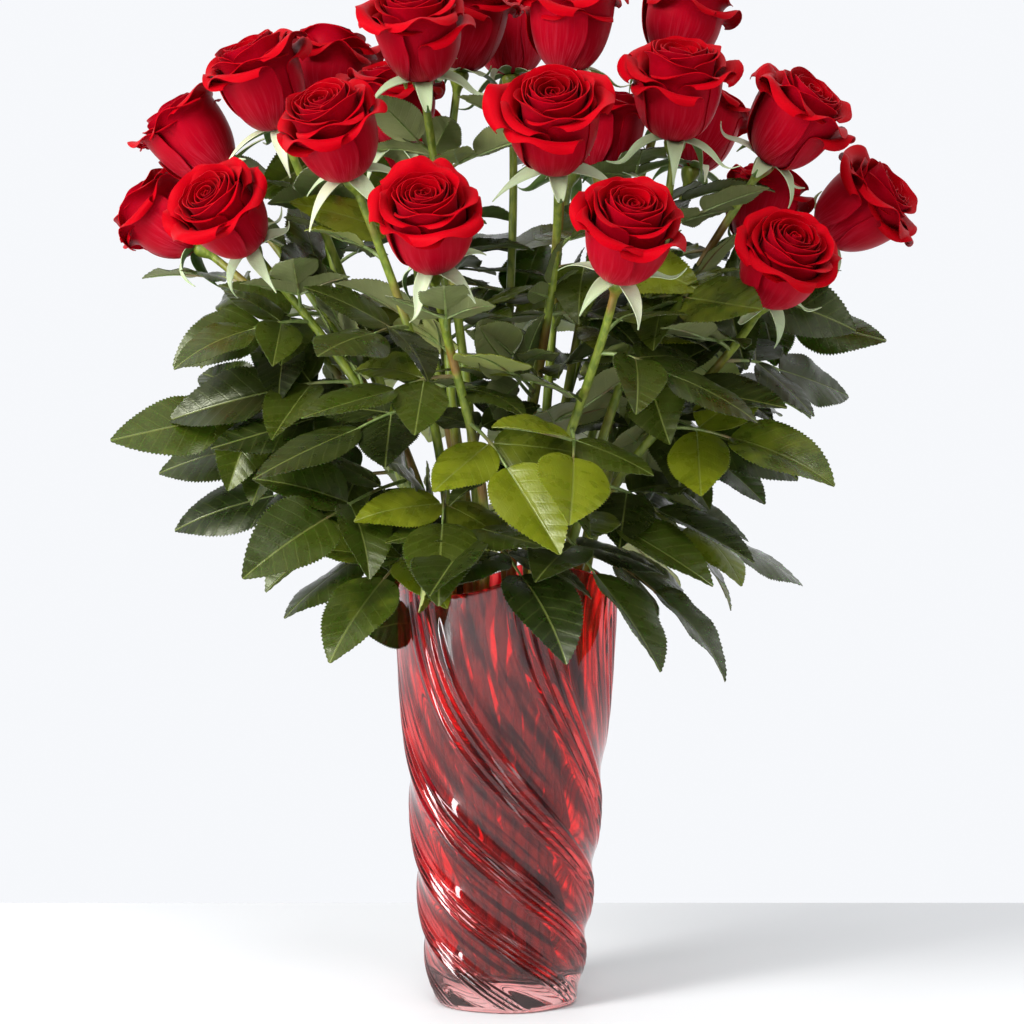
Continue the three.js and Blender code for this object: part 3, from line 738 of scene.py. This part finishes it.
def leaf_material(name, roughness, vein_share):
    """Leaf skin with a pale midrib and side veins that run forward from it."""
    shader = Shader(
        name, Specular_IOR_Level=0.4, Specular_Tint=(0.97, 1.0, 0.72, 1), Coat_Weight=0.12,
        Coat_Roughness=0.28, Subsurface_Weight=0.12, Subsurface_Scale=0.002,
        Subsurface_Radius=(0.5, 1.0, 0.15),
    )
    dark, light, sunny, vein = LEAF_COLOURS[name]
    along, across = shader.places()
    wide = shader.math("ABSOLUTE", across)
    slant = shader.math("SUBTRACT", shader.math("MULTIPLY", along, 8.0), shader.math("MULTIPLY", wide, 1.9))
    wobble = shader.math("MULTIPLY", shader.object_noise(60.0), 0.35)
    phase = shader.math("FRACT", shader.math("ADD", slant, wobble))
    from_vein = shader.math("ABSOLUTE", shader.math("SUBTRACT", phase, 0.5))
    side_veins = shader.fade(from_vein, 0.0, 0.10, 0.22, 0.0)
    midrib = shader.fade(wide, 0.012, 0.045, 1.0, 0.0)
    veins = shader.math("MAXIMUM", side_veins, midrib)
    mottle = shader.object_noise(90.0)
    unevenness = shader.math("MULTIPLY", shader.math("SUBTRACT", mottle, 0.5), 0.5)
    tone = shader.math("ADD", shader.attribute("tone"), unevenness)
    colour = shader.ramp(tone, (0.0, dark), (0.7, light), (1.0, sunny))
    colour = shader.mix(shader.math("MULTIPLY", veins, vein_share), colour, vein)
    net = shader.pattern_noise(26.0, 20.0)
    height = shader.math("SUBTRACT", shader.math("MULTIPLY", net, 0.4), shader.math("MULTIPLY", veins, 0.6))
    rough = shader.fade(mottle, 0.3, 0.7, roughness - 0.07, roughness + 0.1)
    return shader.feed(Base_Color=colour, Roughness=rough, Normal=shader.bump(height, 0.5, 0.0007))


def stem_material(name, green, pale, overlay_colour):
    """Smooth stem skin, green with reddish-brown stretches."""
    shader = Shader(name, Roughness=0.42, Subsurface_Weight=0.1, Subsurface_Scale=0.002,
                    Subsurface_Radius=(0.6, 1.0, 0.2))
    where = shader.node("ShaderNodeTexCoord").outputs["Object"]
    stretched = shader.node("ShaderNodeMapping", {"Vector": where, "Scale": (1.0, 1.0, 0.35)}).outputs[0]
    patches = shader.noise(stretched, 38.0, 2.0)
    grain = shader.noise(stretched, 320.0, 2.0)
    colour = shader.mix(shader.fade(grain, 0.35, 0.65), green, pale)
    colour = shader.mix(shader.fade(patches, 0.5, 0.66, 0.0, 0.75), colour, overlay_colour)
    return shader.feed(Base_Color=colour, Normal=shader.bump(grain, 0.25, 0.0005))


def glass_material():
    """Ruby glass with darker streaks along its ridges and a tint that thins out towards the foot."""
    shader = Shader("ruby_glass", Roughness=0.01, IOR=1.52, Transmission_Weight=0.97,
                    Specular_IOR_Level=0.36)
    where = shader.node("ShaderNodeTexCoord").outputs["Object"]
    height = shader.node("ShaderNodeSeparateXYZ", {0: where}).outputs[2]
    streaks = shader.pattern_noise(46.0, 5.0, 2.0)
    ruby = shader.mix(shader.fade(streaks, 0.39, 0.55), (0.24, 0.0, 0.002), (1.0, 0.07, 0.07))
    colour = shader.mix(shader.fade(height, 0.004, 0.03), (1.0, 0.52, 0.50), ruby)
    return shader.feed(Base_Color=colour)


def plain_material(name, colour, roughness):
    """A plain matt finish with a hardly visible unevenness."""
    shader = Shader(name, Roughness=roughness, Specular_IOR_Level=0.3)
    shade = shader.fade(shader.object_noise(3.0), 0.3, 0.7)
    darker = tuple(0.985 * c for c in colour)
    return shader.feed(Base_Color=shader.mix(shade, darker, colour))


# ---------------------------------------------------------------- the bouquet

def build_roses():
    """Each rose's petals, sepals, stem and leaves, as four pieces."""
    # The third colour of each petal material is painted light near the petal's base: darker painted shade
    # on the inside, a pink painted sheen highlight on the back.
    petal_inside = petal_material(
        "petal_inside", (0.12, 0.0, 0.001), (0.36, 0.0, 0.004), (0.26, 0.001, 0.004), 0.3, 0.5)
    petal_back = petal_material(
        "petal_back", (0.13, 0.0, 0.003), (0.32, 0.001, 0.009), (0.62, 0.06, 0.10), 0.4, 0.42)
    leaf_top = leaf_material("leaf_top", 0.3, 0.5)
    leaf_under = leaf_material("leaf_under", 0.6, 0.45)
    stalk = stem_material("stem_skin", (0.13, 0.19, 0.015), (0.25, 0.31, 0.035), (0.22, 0.08, 0.025))
    leaf_stalk = stem_material("leaf_stalk", (0.14, 0.21, 0.05), (0.24, 0.31, 0.10), (0.20, 0.10, 0.05))
    sepal_inside = leaf_material("sepal_inside", 0.6, 0.3)
    sepal_outside = leaf_material("sepal_outside", 0.5, 0.3)
    for number in range(1, ROSE_COUNT + 1):
        random = np.random.default_rng(FIRST_SEED + number)
        rose = f"rose_{number:02d}"
        bloom_node = f"{rose}_bloom"
        stem_node = f"{rose}_stem_and_leaves"
        seat, axis, size = find_bloom(bloom_node)
        stem = find_stem(stem_node, seat, axis)
        petals = Piece()
        add_bloom(petals, seat, axis, size, random)
        petals.build(f"{rose}_petals", [petal_inside, petal_back], "petals", bloom_node)
        sepals = Piece()
        add_sepals(sepals, seat, axis, size, random)
        sepals.build(f"{rose}_sepals", [sepal_inside, sepal_outside, stalk], "foliage", stem_node)
        stick = Piece()
        radii = np.linspace(STEM["foot"], STEM["neck"], len(stem))
        stick.tube(stem, radii, 0.5, STEM["sides"])
        stick.build(f"{rose}_stem", [stalk], "foliage", stem_node)
        leaves = Piece()
        for leaf in find_leaves(stem_node, stem):
            add_leaf(leaves, leaf, random)
        leaves.build(f"{rose}_leaves", [leaf_top, leaf_under, leaf_stalk], "foliage", stem_node)


# ---------------------------------------------------------------- stage, light and camera

def plane(name, size_x, size_y, centre, material):
    """A flat rectangle that belongs to the stage."""
    mesh = bpy.data.meshes.new(name)
    x, y = 0.5 * size_x, 0.5 * size_y
    mesh.from_pydata([(-x, -y, 0), (x, -y, 0), (x, y, 0), (-x, y, 0)], [], [(0, 1, 2, 3)])
    mesh.materials.append(material)
    thing = bpy.data.objects.new(name, mesh)
    thing.location = centre
    bpy.context.scene.collection.objects.link(thing)


def area_light(name, place, target, size, power):
    """A rectangular light that faces its target; the power is in watts."""
    data = bpy.data.lights.new(name, "AREA")
    data.shape = "RECTANGLE"
    data.size, data.size_y = size
    data.energy = power
    light = bpy.data.objects.new(name, data)
    light.location = place
    light.rotation_euler = aim(place, target)
    bpy.context.scene.collection.objects.link(light)


def aim(place, target):
    """The rotation of a light at a place that points at a target."""
    return (Vector(target) - Vector(place)).to_track_quat("-Z", "Y").to_euler()


def build_world():
    """Light all round: a bright backdrop and ceiling, and a dimmer room in front of the bouquet."""
    world = bpy.data.worlds.new("studio")
    world.use_nodes = True
    nodes = world.node_tree.nodes
    links = world.node_tree.links
    background = nodes["Background"]
    background.inputs["Color"].default_value = (0.955, 0.97, 1.0, 1)
    direction = nodes.new("ShaderNodeTexCoord")
    parts = nodes.new("ShaderNodeSeparateXYZ")
    links.new(direction.outputs["Generated"], parts.inputs[0])
    brighter = nodes.new("ShaderNodeMath")
    brighter.operation = "MAXIMUM"
    room = 0.22
    for k, (axis, low, high, strength) in enumerate((("Y", -0.2, 0.5, 0.97), ("Z", 0.45, 0.8, 1.1))):
        fade = nodes.new("ShaderNodeMapRange")
        fade.interpolation_type = "SMOOTHSTEP"
        fade.inputs["From Min"].default_value = low
        fade.inputs["From Max"].default_value = high
        fade.inputs["To Min"].default_value = room
        fade.inputs["To Max"].default_value = strength
        links.new(parts.outputs[axis], fade.inputs["Value"])
        links.new(fade.outputs[0], brighter.inputs[k])
    links.new(brighter.outputs[0], background.inputs["Strength"])
    bpy.context.scene.world = world


def build_stage():
    """The table, the lights and the camera."""
    plane("table", 4.0, 2.4, (0, -0.88, 0), plain_material("table_top", (0.70, 0.705, 0.71), 0.6))
    build_world()
    area_light("key", (-1.25, -1.15, 1.35), (0, 0, 0.35), (0.7, 0.7), 38)
    area_light("strip", (-0.9, -0.85, 0.45), (0, 0, 0.2), (0.14, 0.9), 9)
    area_light("front", (0.1, -1.5, 1.7), (0, 0, 0.35), (0.6, 0.5), 12)
    area_light("fill", (1.3, -1.3, 0.9), (0, 0, 0.3), (0.5, 1.2), 7)
    bpy.context.scene.view_settings.view_transform = "Standard"
    data = bpy.data.cameras.new("camera")
    data.lens = 96
    data.sensor_width = 36
    camera = bpy.data.objects.new("camera", data)
    camera.location = (0.004, -1.585, 0.337)
    camera.rotation_euler = (math.radians(90 - 1.886), 0, 0)
    bpy.context.scene.collection.objects.link(camera)
    bpy.context.scene.camera = camera


build_vase([glass_material()])
build_roses()
build_stage()

bpy.context.view_layer.update()
